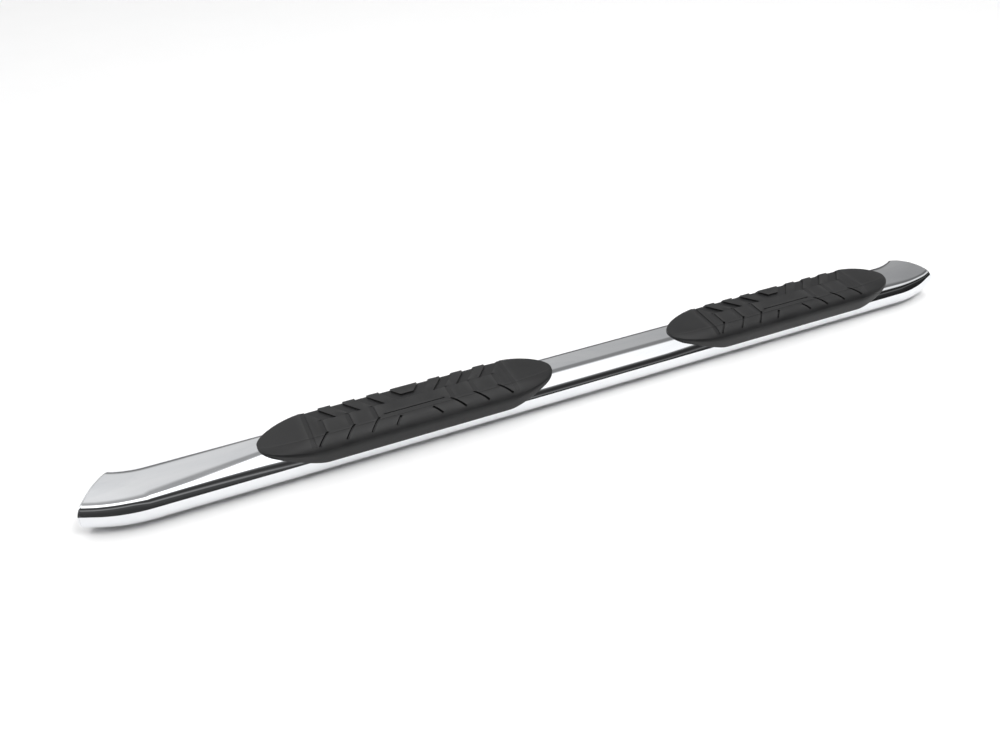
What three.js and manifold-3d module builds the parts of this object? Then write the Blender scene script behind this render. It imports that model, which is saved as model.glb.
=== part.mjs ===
// Running board for a pickup truck. An oval tube, bent towards the vehicle and closed at both
// ends, carries two moulded step pads. Push-in clips hold the pads, and threaded inserts in the
// underside take the brackets. Millimetres: X runs along the bar, +Y points to the vehicle, +Z
// is up and the bar rests on Z = 0.

import * as THREE from "three";
import { mergeVertices } from "three/addons/utils/BufferGeometryUtils.js";
import Module from "manifold-3d";

const wasm = await Module();
wasm.setup();

// ---------------------------------------------------------------- driving dimensions

const FIT_GAP = 0.3; // left between pieces that touch

// Oval tube
const TUBE_WIDTH = 127;
const TUBE_HEIGHT = 76.2;
const TUBE_WALL = 1.6;
const NOSE_EASE = 5.1; // the nose's radius is this much less than half the height
const BAR_SPAN = 2075; // between the centres of the two ends, along X
const BEND_RADIUS = 225; // on the centreline
const BEND_ANGLE = THREE.MathUtils.degToRad(22);
const TAIL_LENGTH = 15; // straight length after each bend
const CUT_SKEW = THREE.MathUtils.degToRad(13); // each end is cut this far past square
const END_PLATE = 3;

// Step pads
const BARE_LEFT = 213.3; // from the start of the left bend to the left pad
const BARE_MIDDLE = 317; // between the pads
const BARE_RIGHT = 21.3; // from the right pad to the start of the right bend
const FRONT_PROUD = 3.5; // how far the skirt stands out in front of the tube
const BACK_PROUD = 3;
const PAD_TIP = 130; // length of the elliptical tip at each end
const TIP_BLUNT = 0.06; // half-width of the very tip, as a share of the pad's
const BACK_SLIMMING = 1.2; // power that draws the back of each tip in
const PAD_RISE = 12; // tread above the top of the tube
const TIP_RISE = 3.8; // tip above the top of the tube
const HEM_RISE = 6; // the skirt's hem above the middle of the tube
const PAD_WALL = 4;
const PAD_ROOF = 3; // left under the tread grooves
const RIB = 3;

// Tread: lugs along the back edge and slots along the front edge, mirrored about the middle of
// the pad
const PLATEAU = 111; // plain raised length at each end of the pad
const GROOVE_DEPTH = 4;
const LUG_PITCH = 54; // nearest pitch that fits the tread is used
const LUG_WIDTH = 27;
const END_GAP = 30; // between the last lug and the plateau
const CENTRE_LUG = 60;
const BACK_ROLL = 16.5; // from the back of the pad to where its top starts to roll down
const CENTRE_LUG_DEPTH = 19;
const GAP_DEPTH = 36;
const SLANT = 0.82; // sideways travel for each millimetre across the pad
const SIPE_WIDTH = 2.6;
const STEP_DEPTH = 1.6; // each tread tile steps down this far to the next one out
const STEP_RAMP = 11; // and ramps back up over this length
const RAMP_SHORT = 0.6; // each ramp stops this far short of its crest, for a clean edge
const STEP_FRONT = -26; // from the tube centreline to where the steps turn into slots
const SLOT_WIDTH = 5;
const SLOT_TO_EDGE = 17; // from the end of a slot to the front of the pad
const SHORT_SLOT_BACK = -38;
const CENTRE_SIPE = 136;
const CENTRE_SIPE_PLACE = -19;

// Push-in clips
const CLIPS_PER_PAD = 6;
const CLIP_FROM_TIP = 103; // from each tip of the pad to the first clip
const CLIP_SHANK = 7.6;
const CLIP_CLEARANCE = 0.7; // round the shank in its hole
const CLIP_GRIP = 1; // how far the fins reach past the edge of the hole
const CLIP_FINS = 3;
const CLIP_FIN_PITCH = 3.6;
const CLIP_FIN_LAND = 0.45; // blunt edge of a fin, below its flat top
const CLIP_HEAD = 18;
const CLIP_HEAD_THICK = 2;
const HOUSE_LIP = 1.5; // ledge under the head of the clip
const HOUSE_WALL = 4;

// Threaded inserts for the brackets
const BRACKET_FROM_BEND = 179.3; // from the start of each bend to the outer stations
const INSERT_SPACING = 50;
const INSERT_FLANGE = 17;
const INSERT_FLANGE_THICK = 1;
const INSERT_BARREL = 11;
const INSERT_BULGE = 14.5;
const INSERT_BULGE_LENGTH = 6;
const INSERT_LENGTH = 18;
const INSERT_BORE = 6.8;
const INSERT_RECESS = 0.2; // flange face above the lowest line of the tube

// How finely the round parts are faceted
const INSERT_SIDES = 16;
const CLIP_HOLE_SIDES = 12;
const CLIP_SIDES = 10;

// ---------------------------------------------------------------- solids

function solid(geometry) {
  const bare = geometry.index ? geometry.toNonIndexed() : geometry.clone();
  bare.deleteAttribute("normal");
  bare.deleteAttribute("uv");
  const merged = mergeVertices(bare, 1e-4);
  const corners = merged.index.array;
  const triangles = [];
  for (let i = 0; i < corners.length; i += 3) {
    const [a, b, c] = [corners[i], corners[i + 1], corners[i + 2]];
    if (a !== b && b !== c && c !== a) triangles.push(a, b, c);
  }
  const mesh = new wasm.Mesh({
    numProp: 3,
    vertProperties: new Float32Array(merged.attributes.position.array),
    triVerts: new Uint32Array(triangles),
  });
  return new wasm.Manifold(mesh);
}

function surface(body) {
  const mesh = body.getMesh();
  const geometry = new THREE.BufferGeometry();
  geometry.setAttribute("position", new THREE.BufferAttribute(mesh.vertProperties, 3));
  geometry.setIndex(new THREE.BufferAttribute(mesh.triVerts, 1));
  return geometry;
}

// A box given by the range it covers along each axis.
function block([x0, x1], [y0, y1], [z0, z1]) {
  const box = new THREE.BoxGeometry(x1 - x0, y1 - y0, z1 - z0);
  return solid(box.translate((x0 + x1) / 2, (y0 + y1) / 2, (z0 + z1) / 2));
}

// An upright cylinder on [x, y], covering a range of heights.
function post([x, y], diameter, [z0, z1], sides = INSERT_SIDES) {
  const cylinder = new THREE.CylinderGeometry(diameter / 2, diameter / 2, z1 - z0, sides);
  return solid(cylinder.rotateX(Math.PI / 2).translate(x, y, (z0 + z1) / 2));
}

// An upright prism over a plan outline of [x, y] corners.
function prism(outline, [z0, z1]) {
  const shape = new THREE.Shape(outline.map(([x, y]) => new THREE.Vector2(x, y)));
  const slab = new THREE.ExtrudeGeometry(shape, { depth: z1 - z0, bevelEnabled: false });
  return solid(slab.translate(0, 0, z0));
}

// A body of revolution about Z, from a closed profile of [radius, height] corners.
function turned(profile, sides) {
  const points = profile.map(([radius, height]) => new THREE.Vector2(radius, height));
  return new THREE.LatheGeometry(points, sides).rotateX(Math.PI / 2);
}

// A closed skin over rings of points, each ring with the same number of points. The first and
// last rings are closed with a fan.
function loft(rings) {
  const count = rings[0].length;
  const positions = [];
  const face = (...corners) => corners.forEach((point) => positions.push(...point.toArray()));
  for (let i = 0; i + 1 < rings.length; i += 1) {
    for (let j = 0; j < count; j += 1) {
      const next = (j + 1) % count;
      face(rings[i][j], rings[i + 1][j], rings[i + 1][next]);
      face(rings[i][j], rings[i + 1][next], rings[i][next]);
    }
  }
  const last = rings[rings.length - 1];
  for (let j = 1; j + 1 < count; j += 1) {
    face(rings[0][0], rings[0][j], rings[0][j + 1]);
    face(last[0], last[j + 1], last[j]);
  }
  const geometry = new THREE.BufferGeometry();
  geometry.setAttribute("position", new THREE.Float32BufferAttribute(positions, 3));
  return geometry;
}

// ---------------------------------------------------------------- the bar

const HALF_WIDTH = TUBE_WIDTH / 2;
const HALF_HEIGHT = TUBE_HEIGHT / 2;
const NOSE_RADIUS = HALF_HEIGHT - NOSE_EASE;
const NOSE_CENTRE = HALF_WIDTH - NOSE_RADIUS;
const CROWN_RADIUS =
  (HALF_WIDTH ** 2 + HALF_HEIGHT ** 2 - 2 * HALF_WIDTH * NOSE_RADIUS) /
  (2 * (HALF_HEIGHT - NOSE_RADIUS));
const CROWN_CENTRE = CROWN_RADIUS - HALF_HEIGHT;
const NOSE_SWEEP = Math.atan2(CROWN_CENTRE, NOSE_CENTRE); // from level to where the crown starts
const HALF_STRAIGHT =
  BAR_SPAN / 2 - BEND_RADIUS * Math.sin(BEND_ANGLE) - TAIL_LENGTH * Math.cos(BEND_ANGLE);
const BEND_STEPS = 5;
const OVAL_STEPS = 4;

// The oval grown outwards, drawn with its height along x and its width along y.
function ovalShape(grow) {
  const quarter = Math.PI / 2;
  const nose = NOSE_RADIUS + grow;
  const crown = CROWN_RADIUS + grow;
  const shape = new THREE.Shape();
  shape.absarc(0, NOSE_CENTRE, nose, quarter - NOSE_SWEEP, quarter + NOSE_SWEEP);
  shape.absarc(CROWN_CENTRE, 0, crown, quarter + NOSE_SWEEP, 3 * quarter - NOSE_SWEEP);
  shape.absarc(0, -NOSE_CENTRE, nose, 3 * quarter - NOSE_SWEEP, 3 * quarter + NOSE_SWEEP);
  shape.absarc(-CROWN_CENTRE, 0, crown, NOSE_SWEEP - quarter, quarter - NOSE_SWEEP);
  shape.closePath();
  return shape;
}

// Height of the top of the oval, grown outwards, at a place across it.
function ovalTop(across, grow) {
  const place = Math.abs(across);
  const crownEnd = (NOSE_RADIUS + grow) * Math.cos(NOSE_SWEEP) + NOSE_CENTRE;
  if (place < crownEnd) {
    return HALF_HEIGHT - CROWN_CENTRE + Math.sqrt((CROWN_RADIUS + grow) ** 2 - place ** 2);
  }
  const reach = Math.min(place - NOSE_CENTRE, NOSE_RADIUS + grow);
  return HALF_HEIGHT + Math.sqrt((NOSE_RADIUS + grow) ** 2 - reach ** 2);
}

// How far across the upper half of the oval, grown outwards, reaches at a height.
function ovalReach(height, grow) {
  const rise = height - HALF_HEIGHT;
  return NOSE_CENTRE + Math.sqrt((NOSE_RADIUS + grow) ** 2 - rise ** 2);
}

// The centreline of the bar: straight in the middle, then an arc and a straight tail at each
// end. A step of the path ends at each stop, which is a distance from the middle of the bar.
class BarPath extends THREE.Curve {
  constructor(overrun) {
    super();
    const half = [HALF_STRAIGHT];
    for (let i = 1; i <= BEND_STEPS; i += 1) {
      half.push(HALF_STRAIGHT + (BEND_RADIUS * BEND_ANGLE * i) / BEND_STEPS);
    }
    half.push(half[half.length - 1] + TAIL_LENGTH + overrun);
    this.stops = [...half.map((stop) => -stop).reverse(), ...half];
  }

  place(distance) {
    const along = Math.abs(distance);
    const turn = THREE.MathUtils.clamp((along - HALF_STRAIGHT) / BEND_RADIUS, 0, BEND_ANGLE);
    const tail = Math.max(along - HALF_STRAIGHT - BEND_RADIUS * BEND_ANGLE, 0);
    const straight = Math.min(along, HALF_STRAIGHT);
    const x = straight + BEND_RADIUS * Math.sin(turn) + tail * Math.cos(turn);
    const y = BEND_RADIUS * (1 - Math.cos(turn)) + tail * Math.sin(turn);
    const side = Math.sign(distance);
    return { point: new THREE.Vector3(side * x, y, HALF_HEIGHT), turn: side * turn };
  }

  stopAt(t) {
    return this.stops[Math.round(t * (this.stops.length - 1))];
  }

  getPointAt(t, target = new THREE.Vector3()) {
    return target.copy(this.place(this.stopAt(t)).point);
  }

  getTangentAt(t, target = new THREE.Vector3()) {
    const { turn } = this.place(this.stopAt(t));
    return target.set(Math.cos(turn), Math.sin(turn), 0);
  }
}

// The oval swept along the bar. It runs well past both end cuts.
function sweptOval(grow) {
  const path = new BarPath(TUBE_WIDTH);
  const sweep = new THREE.ExtrudeGeometry(ovalShape(grow), {
    steps: path.stops.length - 1,
    curveSegments: OVAL_STEPS,
    extrudePath: path,
  });
  return solid(sweep);
}

const END_CENTRE = new BarPath(0).place(HALF_STRAIGHT + BEND_RADIUS * BEND_ANGLE + TAIL_LENGTH);
const END_TURN = BEND_ANGLE + CUT_SKEW;

// A slab parallel to one end cut. Its two faces are given as distances beyond the cut.
function endSlab(side, from, to) {
  const size = 4 * TUBE_WIDTH;
  const slab = new THREE.BoxGeometry(to - from, size, size);
  slab.translate((from + to) / 2, 0, 0);
  slab.rotateZ(END_TURN);
  slab.translate(END_CENTRE.point.x, END_CENTRE.point.y, HALF_HEIGHT);
  if (side < 0) slab.rotateY(Math.PI).translate(0, 0, TUBE_HEIGHT);
  return solid(slab);
}

const outerOval = sweptOval(0);
const FLANGE_SEAT = INSERT_RECESS + INSERT_FLANGE_THICK + FIT_GAP;

// Places of the inserts along the bar, two to each bracket.
const OUTER_STATION = HALF_STRAIGHT - BRACKET_FROM_BEND;
const INSERT_PLACES = [-OUTER_STATION, 0, OUTER_STATION].flatMap((station) => [
  station - INSERT_SPACING / 2,
  station + INSERT_SPACING / 2,
]);

const PAD_LENGTH = (2 * HALF_STRAIGHT - BARE_LEFT - BARE_MIDDLE - BARE_RIGHT) / 2;
const HALF_PAD = PAD_LENGTH / 2;
const PAD_CENTRES = [
  -HALF_STRAIGHT + BARE_LEFT + HALF_PAD,
  HALF_STRAIGHT - BARE_RIGHT - HALF_PAD,
];
const CLIP_PITCH = (PAD_LENGTH - 2 * CLIP_FROM_TIP) / (CLIPS_PER_PAD - 1);
const CLIP_HOLE = CLIP_SHANK + 2 * CLIP_CLEARANCE;

// Places of the clips of one pad along the bar.
function clipPlaces(padCentre) {
  const places = [];
  for (let i = 0; i < CLIPS_PER_PAD; i += 1) {
    places.push(padCentre + (i - (CLIPS_PER_PAD - 1) / 2) * CLIP_PITCH);
  }
  return places;
}

// The tube, with a clip hole under each clip and a pressed, pierced seat for each insert.
function tube() {
  let body = outerOval.subtract(sweptOval(-TUBE_WALL));
  for (const side of [-1, 1]) {
    body = body.subtract(endSlab(side, -END_PLATE - FIT_GAP, 4 * TUBE_WIDTH));
  }
  for (const x of PAD_CENTRES.flatMap(clipPlaces)) {
    body = body.subtract(post([x, 0], CLIP_HOLE, [HALF_HEIGHT, 2 * TUBE_HEIGHT], CLIP_HOLE_SIDES));
  }
  const seat = INSERT_FLANGE + 2 * FIT_GAP;
  for (const x of INSERT_PLACES) {
    const pressed = post([x, 0], seat + 2 * TUBE_WALL, [TUBE_WALL / 2, FLANGE_SEAT + TUBE_WALL]);
    body = body.add(pressed);
    body = body.subtract(post([x, 0], seat, [-TUBE_WALL, FLANGE_SEAT]));
    body = body.subtract(post([x, 0], INSERT_BARREL + 2 * FIT_GAP, [-TUBE_WALL, HALF_HEIGHT]));
  }
  return surface(body);
}

function endPlate(side) {
  return surface(outerOval.intersect(endSlab(side, -END_PLATE, 0)));
}

// ---------------------------------------------------------------- the step pads

const HALF_TREAD = HALF_PAD - PLATEAU;
const TREAD_TOP = TUBE_HEIGHT + PAD_RISE;
const HEM = HALF_HEIGHT + HEM_RISE;
const PAD_FRONT = HALF_WIDTH + FRONT_PROUD;
const PAD_BACK = HALF_WIDTH + BACK_PROUD;
const LUG_BACK = PAD_BACK - BACK_ROLL;
const GAP_FRONT = LUG_BACK - GAP_DEPTH;
const CENTRE_LUG_FRONT = LUG_BACK - CENTRE_LUG_DEPTH;
const SLOT_FRONT = SLOT_TO_EDGE - PAD_FRONT;
const TIP_STEPS = 8;

// Outline of the pad from the front hem over the tread to the back hem. Each corner is a share
// of the pad's reach across the bar and a share of its height above the hem.
const PAD_PROFILE = [
  [-1, 0],
  [-0.995, 0.2],
  [-0.95, 0.45],
  [-0.86, 0.68],
  [-0.76, 0.84],
  [-0.63, 0.94],
  [-0.48, 0.99],
  [-0.37, 1],
  [0.74, 1],
  [0.84, 0.96],
  [0.91, 0.85],
  [0.96, 0.65],
  [0.99, 0.4],
  [1, 0.1],
];

// The skin of the pad without its hollows, about its own middle. The outline can be drawn
// smaller all round, its top lower and its hem higher.
function padSkin({ inset = 0, drop = 0, lift = 0 }) {
  const half = HALF_PAD - inset;
  const tip = PAD_TIP - inset;
  const rings = [];
  const ring = (x, taper) => {
    const beyond = Math.max(Math.abs(x) - HALF_TREAD, 0) / PLATEAU;
    const top = TREAD_TOP - drop - (PAD_RISE - TIP_RISE) * beyond ** 2;
    const hem = Math.max(HEM, ovalTop(ovalReach(HEM, FIT_GAP) * taper, FIT_GAP)) + lift;
    const front = (PAD_FRONT - inset) * taper;
    const back = (PAD_BACK - inset) * taper ** BACK_SLIMMING;
    return PAD_PROFILE.map(([across, height]) => {
      const y = across * (across < 0 ? front : back);
      return new THREE.Vector3(x, y, hem + height * (top - hem));
    });
  };
  for (let i = 0; i <= TIP_STEPS; i += 1) {
    const angle = (Math.PI / 2) * (i / TIP_STEPS);
    const taper = TIP_BLUNT + (1 - TIP_BLUNT) * Math.sin(angle);
    rings.push(ring(-half + tip * (1 - Math.cos(angle)), taper));
  }
  const mirrored = rings.map((points) => points.map((p) => new THREE.Vector3(-p.x, p.y, p.z)));
  return loft([...rings, ...mirrored.reverse()]);
}

// Plan outline of a groove of even width along a line of [x, y] points.
function strip(points, width) {
  const line = points.map(([x, y]) => new THREE.Vector2(x, y));
  const left = [];
  const right = [];
  line.forEach((point, i) => {
    const before = line[Math.max(i - 1, 0)];
    const after = line[Math.min(i + 1, line.length - 1)];
    const along = after.clone().sub(before).normalize();
    left.push([point.x - (along.y * width) / 2, point.y + (along.x * width) / 2]);
    right.push([point.x + (along.y * width) / 2, point.y - (along.x * width) / 2]);
  });
  return [...left, ...right.reverse()];
}

// Plan outlines for the half of the tread where x is positive: the gaps between the lugs, the
// slots over the front edge, and the ramps that climb to each step between tread tiles. A gap
// slants in from the back edge, a step runs straight on from its corner, and a slot slants out.
function treadPlan() {
  const run = HALF_TREAD - CENTRE_LUG / 2 - END_GAP;
  const lugCount = Math.max(Math.round(run / LUG_PITCH), 1);
  const pitch = run / lugCount;
  const gapShift = SLANT * GAP_DEPTH;
  const gaps = [];
  const slots = [];
  const steps = [{ x: HALF_TREAD, front: SLOT_FRONT, back: PAD_BACK }];
  for (let i = 0; i <= lugCount; i += 1) {
    const near = CENTRE_LUG / 2 + i * pitch;
    const far = i < lugCount ? near + pitch - LUG_WIDTH : HALF_TREAD;
    const foot = far - gapShift;
    const outer = [[foot, GAP_FRONT], [far, LUG_BACK], [far, PAD_BACK], [near, PAD_BACK]];
    if (i === 0) {
      const narrowing = SLANT * CENTRE_LUG_DEPTH;
      const lug = [[near, LUG_BACK], [near - narrowing, CENTRE_LUG_FRONT], [0, CENTRE_LUG_FRONT]];
      gaps.push([...outer, ...lug, [0, GAP_FRONT]]);
    } else {
      gaps.push([...outer, [near, LUG_BACK], [near - gapShift, GAP_FRONT]]);
      steps.push({ x: foot, front: STEP_FRONT, back: GAP_FRONT + SIPE_WIDTH });
    }
    const slotBack = i === 0 ? SHORT_SLOT_BACK : STEP_FRONT + SIPE_WIDTH / 2;
    const slotFoot = foot + SLANT * (STEP_FRONT - SLOT_FRONT);
    const slotHead = slotFoot - SLANT * (slotBack - SLOT_FRONT);
    slots.push(strip([[slotHead, slotBack], [slotFoot, SLOT_FRONT]], SLOT_WIDTH));
  }
  slots.push(strip([[0, CENTRE_SIPE_PLACE], [CENTRE_SIPE / 2, CENTRE_SIPE_PLACE]], SIPE_WIDTH));
  return { gaps, slots, steps };
}

// The tread cuts for one half of the pad, side 1 or -1. Each is an upright prism that stops at a
// floor, which is the pad's own skin moved down, moved down and back, or tipped about the top
// of a ramp.
function treadCuts(side) {
  const { gaps, slots, steps } = treadPlan();
  const over = [HEM, 2 * TREAD_TOP];
  const tip = Math.atan(STEP_DEPTH / STEP_RAMP);
  const gapFloor = solid(padSkin({}).translate(0, 0, -GROOVE_DEPTH));
  const slotFloor = solid(padSkin({}).translate(0, GROOVE_DEPTH, -GROOVE_DEPTH));
  const cut = (outline, floor) => {
    const placed = outline.map(([x, y]) => [side * x, y]);
    return prism(placed, over).subtract(floor);
  };
  const ramp = ({ x, front, back }) => {
    const top = x + STEP_RAMP;
    const floor = padSkin({}).translate(-side * top, 0, -TREAD_TOP);
    floor.rotateY(-side * tip).translate(side * top, 0, TREAD_TOP);
    const end = top - RAMP_SHORT;
    return cut([[x, front], [end, front], [end, back], [x, back]], solid(floor));
  };
  const gapCuts = gaps.map((outline) => cut(outline, gapFloor));
  const slotCuts = slots.map((outline) => cut(outline, slotFloor));
  return [...gapCuts, ...slotCuts, ...steps.map(ramp)];
}

const LIP_BASE = TUBE_HEIGHT + FIT_GAP;
const HEAD_BASE = LIP_BASE + HOUSE_LIP + FIT_GAP;
const HEAD_TOP = HEAD_BASE + CLIP_HEAD_THICK;
const UNDER = [HALF_HEIGHT, TREAD_TOP]; // heights that span the whole pad

// The hollow under the pad in one bay between ribs, around the housing that holds one clip. The
// housing is open along the bar, so the clip slides in.
function bay(hollow, clipX) {
  const half = (CLIP_PITCH - RIB) / 2;
  const house = CLIP_HEAD / 2 + FIT_GAP + HOUSE_WALL;
  const across = [-TUBE_WIDTH, TUBE_WIDTH];
  const space = hollow.intersect(block([clipX - half, clipX + half], across, UNDER));
  return space.subtract(block([clipX - house, clipX + house], [-house, house], UNDER));
}

// The slot for one clip: wide for its head, narrow for its neck.
function clipSlot(clipX) {
  const length = CLIP_HEAD / 2 + FIT_GAP + 2 * HOUSE_WALL;
  const slot = (width, heights) => {
    const across = [-width / 2, width / 2];
    const mouth = block([clipX, clipX + length], across, heights);
    return post([clipX, 0], width, heights, CLIP_HOLE_SIDES).add(mouth);
  };
  const head = slot(CLIP_HEAD + 2 * FIT_GAP, [HEAD_BASE - FIT_GAP, HEAD_TOP + FIT_GAP]);
  return head.add(slot(CLIP_SHANK + 2 * FIT_GAP, [LIP_BASE - TUBE_WALL, HEAD_BASE]));
}

function stepPad() {
  const sizes = { inset: PAD_WALL, drop: GROOVE_DEPTH + PAD_ROOF, lift: 2 * PAD_WALL };
  const hollow = solid(padSkin(sizes));
  let body = solid(padSkin({}));
  for (const cut of [...treadCuts(-1), ...treadCuts(1)]) {
    body = body.subtract(cut);
  }
  for (const x of clipPlaces(0)) {
    body = body.subtract(bay(hollow, x)).subtract(clipSlot(x));
  }
  return surface(body.subtract(sweptOval(FIT_GAP)));
}

// ---------------------------------------------------------------- clips and inserts

// A push-in clip about its own axis: head, neck, and a shank with fins below the tube wall.
function clip() {
  const shank = CLIP_SHANK / 2;
  const fin = CLIP_HOLE / 2 + CLIP_GRIP;
  const firstFin = TUBE_HEIGHT - TUBE_WALL - FIT_GAP;
  const profile = [[0, HEAD_TOP], [CLIP_HEAD / 2, HEAD_TOP], [CLIP_HEAD / 2, HEAD_BASE]];
  profile.push([shank, HEAD_BASE], [shank, firstFin]);
  for (let i = 0; i < CLIP_FINS; i += 1) {
    const top = firstFin - i * CLIP_FIN_PITCH;
    profile.push([fin, top - CLIP_FIN_LAND], [shank, top - CLIP_FIN_PITCH]);
  }
  const point = firstFin - (CLIP_FINS + 1) * CLIP_FIN_PITCH;
  profile.push([shank / 2, point], [0, point]);
  return turned(profile.reverse(), CLIP_SIDES);
}

// A threaded insert about its own axis: flange in its pressed seat, barrel, and the bulge that
// grips the inside of the wall.
function insert() {
  const bore = INSERT_BORE / 2;
  const barrel = INSERT_BARREL / 2;
  const flangeTop = INSERT_RECESS + INSERT_FLANGE_THICK;
  const grip = FLANGE_SEAT + TUBE_WALL + FIT_GAP;
  const bulgeTop = grip + INSERT_BULGE_LENGTH;
  return turned(
    [
      [bore, INSERT_RECESS],
      [INSERT_FLANGE / 2, INSERT_RECESS],
      [INSERT_FLANGE / 2, flangeTop],
      [barrel, flangeTop],
      [barrel, grip],
      [INSERT_BULGE / 2, grip],
      [INSERT_BULGE / 2, grip + INSERT_BULGE_LENGTH / 3],
      [barrel, bulgeTop],
      [barrel, INSERT_LENGTH],
      [bore, INSERT_LENGTH],
      [bore, INSERT_RECESS],
    ],
    INSERT_SIDES,
  );
}

// ---------------------------------------------------------------- assembly

const chrome = { color: 0xd8dadc, roughness: 0.06, metalness: 1 };
const moulding = { color: 0x2b2b2b, roughness: 0.55, metalness: 0 };
const nylon = { color: 0x1b1b1b, roughness: 0.6, metalness: 0 };
const zinc = { color: 0xb9bcbf, roughness: 0.35, metalness: 1 };

function piece(name, geometry, look, [x, y, z] = [0, 0, 0]) {
  const mesh = new THREE.Mesh(geometry, new THREE.MeshStandardMaterial(look));
  mesh.name = name;
  mesh.position.set(x, y, z);
  return mesh;
}

const runningBoard = new THREE.Group();
runningBoard.add(piece("oval_tube", tube(), chrome));
runningBoard.add(piece("end_plate_left", endPlate(-1), chrome));
runningBoard.add(piece("end_plate_right", endPlate(1), chrome));
["left", "right"].forEach((side, i) => {
  const centre = PAD_CENTRES[i];
  runningBoard.add(piece(`step_pad_${side}`, stepPad(), moulding, [centre, 0, 0]));
  clipPlaces(centre).forEach((x, j) => {
    runningBoard.add(piece(`pad_clip_${side}_${j + 1}`, clip(), nylon, [x, 0, 0]));
  });
});
INSERT_PLACES.forEach((x, i) => {
  runningBoard.add(piece(`threaded_insert_${i + 1}`, insert(), zinc, [x, 0, 0]));
});

// The middle of the bar's box is brought to Y = 0.
const extent = new THREE.Box3().setFromObject(runningBoard);
runningBoard.position.y = -(extent.min.y + extent.max.y) / 2;

export default runningBoard;
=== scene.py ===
# %% [markdown]
# # A chrome running board
#
# The board is an oval steel tube, chrome plated, with two moulded step pads clipped on top. The
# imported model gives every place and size. This script adds what the eye needs: true curves for
# the mirror finish, a tread with soft edges, and surfaces that answer light as the real ones do.

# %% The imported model
import math
import bpy
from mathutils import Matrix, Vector


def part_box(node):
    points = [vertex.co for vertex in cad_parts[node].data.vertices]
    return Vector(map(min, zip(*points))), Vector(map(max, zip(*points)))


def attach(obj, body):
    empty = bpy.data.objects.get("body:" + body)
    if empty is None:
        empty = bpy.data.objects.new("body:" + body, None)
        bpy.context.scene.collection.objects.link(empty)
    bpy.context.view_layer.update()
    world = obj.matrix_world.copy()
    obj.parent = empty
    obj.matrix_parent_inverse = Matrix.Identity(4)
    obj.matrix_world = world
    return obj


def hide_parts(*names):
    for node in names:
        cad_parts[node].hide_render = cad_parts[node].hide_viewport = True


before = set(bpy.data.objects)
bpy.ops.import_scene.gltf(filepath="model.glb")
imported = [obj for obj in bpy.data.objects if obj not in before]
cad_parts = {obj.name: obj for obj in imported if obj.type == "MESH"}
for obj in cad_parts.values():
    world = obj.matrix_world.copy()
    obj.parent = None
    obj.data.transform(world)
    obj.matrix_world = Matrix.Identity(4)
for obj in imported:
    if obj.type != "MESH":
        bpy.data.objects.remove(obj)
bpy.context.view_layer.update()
MM = 0.001
WELD = 0.01 * MM  # vertices closer than this are one

# %% [markdown]
# ## Reading sizes from the model
#
# A node's box gives the places that everything else is measured from: the height of the tube,
# its middle line, and the middle, length and top of each pad.

# %% Sizes of the tube
tube_low, tube_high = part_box("oval_tube")
pad_low, pad_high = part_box("step_pad_left")
TUBE_HEIGHT = tube_high[2] - tube_low[2]
TUBE_WIDTH = 127 * MM
TUBE_WALL = 1.6 * MM
NOSE_EASE = 5.1 * MM
HALF_HEIGHT = TUBE_HEIGHT / 2
HALF_WIDTH = TUBE_WIDTH / 2
AXIS_Y = tube_low[1] + HALF_WIDTH
NOSE_RADIUS = HALF_HEIGHT - NOSE_EASE
NOSE_CENTRE = HALF_WIDTH - NOSE_RADIUS
CROWN_RADIUS = (HALF_WIDTH**2 + HALF_HEIGHT**2 - 2 * HALF_WIDTH * NOSE_RADIUS) / (2 * NOSE_EASE)
NOSE_SWEEP = math.atan2(CROWN_RADIUS - HALF_HEIGHT, NOSE_CENTRE)
print(
    f"tube {TUBE_WIDTH / MM:.1f} by {TUBE_HEIGHT / MM:.1f} mm,",
    f"crown radius {CROWN_RADIUS / MM:.1f}",
)

# %% Sizes of the bends and the end cuts
BEND_RADIUS = 225 * MM
BEND_ANGLE = math.radians(22)
TAIL = 15 * MM
CUT_ANGLE = BEND_ANGLE + math.radians(13)
END_PLATE = 3 * MM
END_GAP = 0.3 * MM
BAR_SPAN = 2075 * MM
HALF_STRAIGHT = BAR_SPAN / 2 - BEND_RADIUS * math.sin(BEND_ANGLE) - TAIL * math.cos(BEND_ANGLE)
END_PLACE = Vector((
    BAR_SPAN / 2,
    AXIS_Y + BEND_RADIUS * (1 - math.cos(BEND_ANGLE)) + TAIL * math.sin(BEND_ANGLE),
    HALF_HEIGHT,
))
print(f"straight for {2 * HALF_STRAIGHT / MM:.0f} mm")

# %% [markdown]
# ## Small tools
#
# Operators act on what is selected, so each step first clears the selection and then picks by
# place. These few helpers keep that out of the way.

# %% Start and finish a piece
def clear_selection():
    if bpy.context.mode != "OBJECT":
        bpy.ops.object.mode_set(mode="OBJECT")
    bpy.ops.object.select_all(action="DESELECT")


def make_active(piece):
    clear_selection()
    piece.select_set(True)
    bpy.context.view_layer.objects.active = piece


def place_in_mesh(piece):
    make_active(piece)
    bpy.ops.object.transform_apply(location=True, rotation=True, scale=True)


def copy_piece(piece, name):
    twin = piece.copy()
    twin.data = piece.data.copy()
    twin.name = name
    twin.data.name = name
    bpy.context.scene.collection.objects.link(twin)
    return twin


def remove(piece):
    bpy.data.objects.remove(piece, do_unlink=True)


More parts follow.
